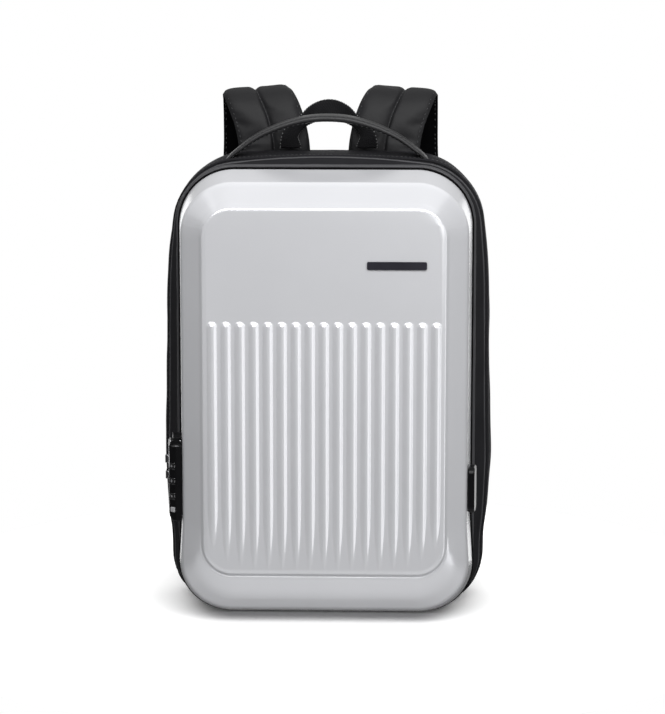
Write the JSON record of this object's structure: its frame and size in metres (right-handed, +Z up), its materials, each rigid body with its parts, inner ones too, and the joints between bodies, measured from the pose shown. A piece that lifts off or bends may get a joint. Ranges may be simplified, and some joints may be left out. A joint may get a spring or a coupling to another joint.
{
  "type": "laptop backpack",
  "caption": "Hard-shell laptop backpack: ribbed moulded front, fabric gusset with zip, side combination lock, padded back, arched handle, haul loop and padded shoulder straps.",
  "frame": {"origin": "on the floor under the fabric body, at the middle of its width", "axes": "+Z up, the ribbed front faces -Y, +X is the viewer's right when facing the front"},
  "size_m": [0.3182, 0.2384, 0.5],
  "materials": {
    "silver_shell": "satin silver moulded plastic",
    "dark_metal": "dark satin metal",
    "body_cloth": "smooth coated black cloth",
    "zip_tape": "black zip tape and coil",
    "back_padding": "black spacer mesh over foam",
    "handle_cloth": "smooth coated black cloth",
    "strap_cloth": "black woven cloth over foam",
    "webbing": "black ribbed webbing",
    "buckle_plastic": "black moulded plastic",
    "lock_plastic": "black satin plastic",
    "dial_metal": "dull bright metal",
    "slider_metal": "gunmetal"
  },
  "bodies": {
    "bag": {"front_shell": "silver_shell", "badge_bar": "dark_metal", "front_gusset": "body_cloth", "zip_band": "zip_tape", "rear_gusset": "body_cloth", "back_panel": "back_padding", "carry_handle": "handle_cloth", "haul_loop": "webbing", "shoulder_strap_left": "strap_cloth", "shoulder_strap_right": "strap_cloth", "strap_webbing_left": "webbing", "strap_webbing_right": "webbing", "strap_adjuster_left": "buckle_plastic", "strap_adjuster_right": "buckle_plastic", "lock_housing": "lock_plastic", "zip_slider_upper": "slider_metal", "zip_slider_lower": "slider_metal", "side_port": "lock_plastic"},
    "dial_1": {"lock_dial_1": "dial_metal"},
    "dial_2": {"lock_dial_2": "dial_metal"},
    "dial_3": {"lock_dial_3": "dial_metal"},
    "button": {"lock_button": "dial_metal"}
  },
  "joints": [
    {"name": "dial_1_turn", "type": "hinge", "parent": "bag", "child": "dial_1", "pos_m": [-0.14339, -0.08656, 0.1526], "axis": [0, 0, 1], "continuous": true},
    {"name": "dial_2_turn", "type": "hinge", "parent": "bag", "child": "dial_2", "pos_m": [-0.14339, -0.08656, 0.1378], "axis": [0, 0, 1], "continuous": true},
    {"name": "dial_3_turn", "type": "hinge", "parent": "bag", "child": "dial_3", "pos_m": [-0.14339, -0.08656, 0.123], "axis": [0, 0, 1], "continuous": true},
    {"name": "button_press", "type": "slide", "parent": "bag", "child": "button", "axis": [0.6313, 0.7755, 0], "range_m": [0, 0.001], "stiffness_N_per_m": 60, "springref_m": -0.002}
  ]
}
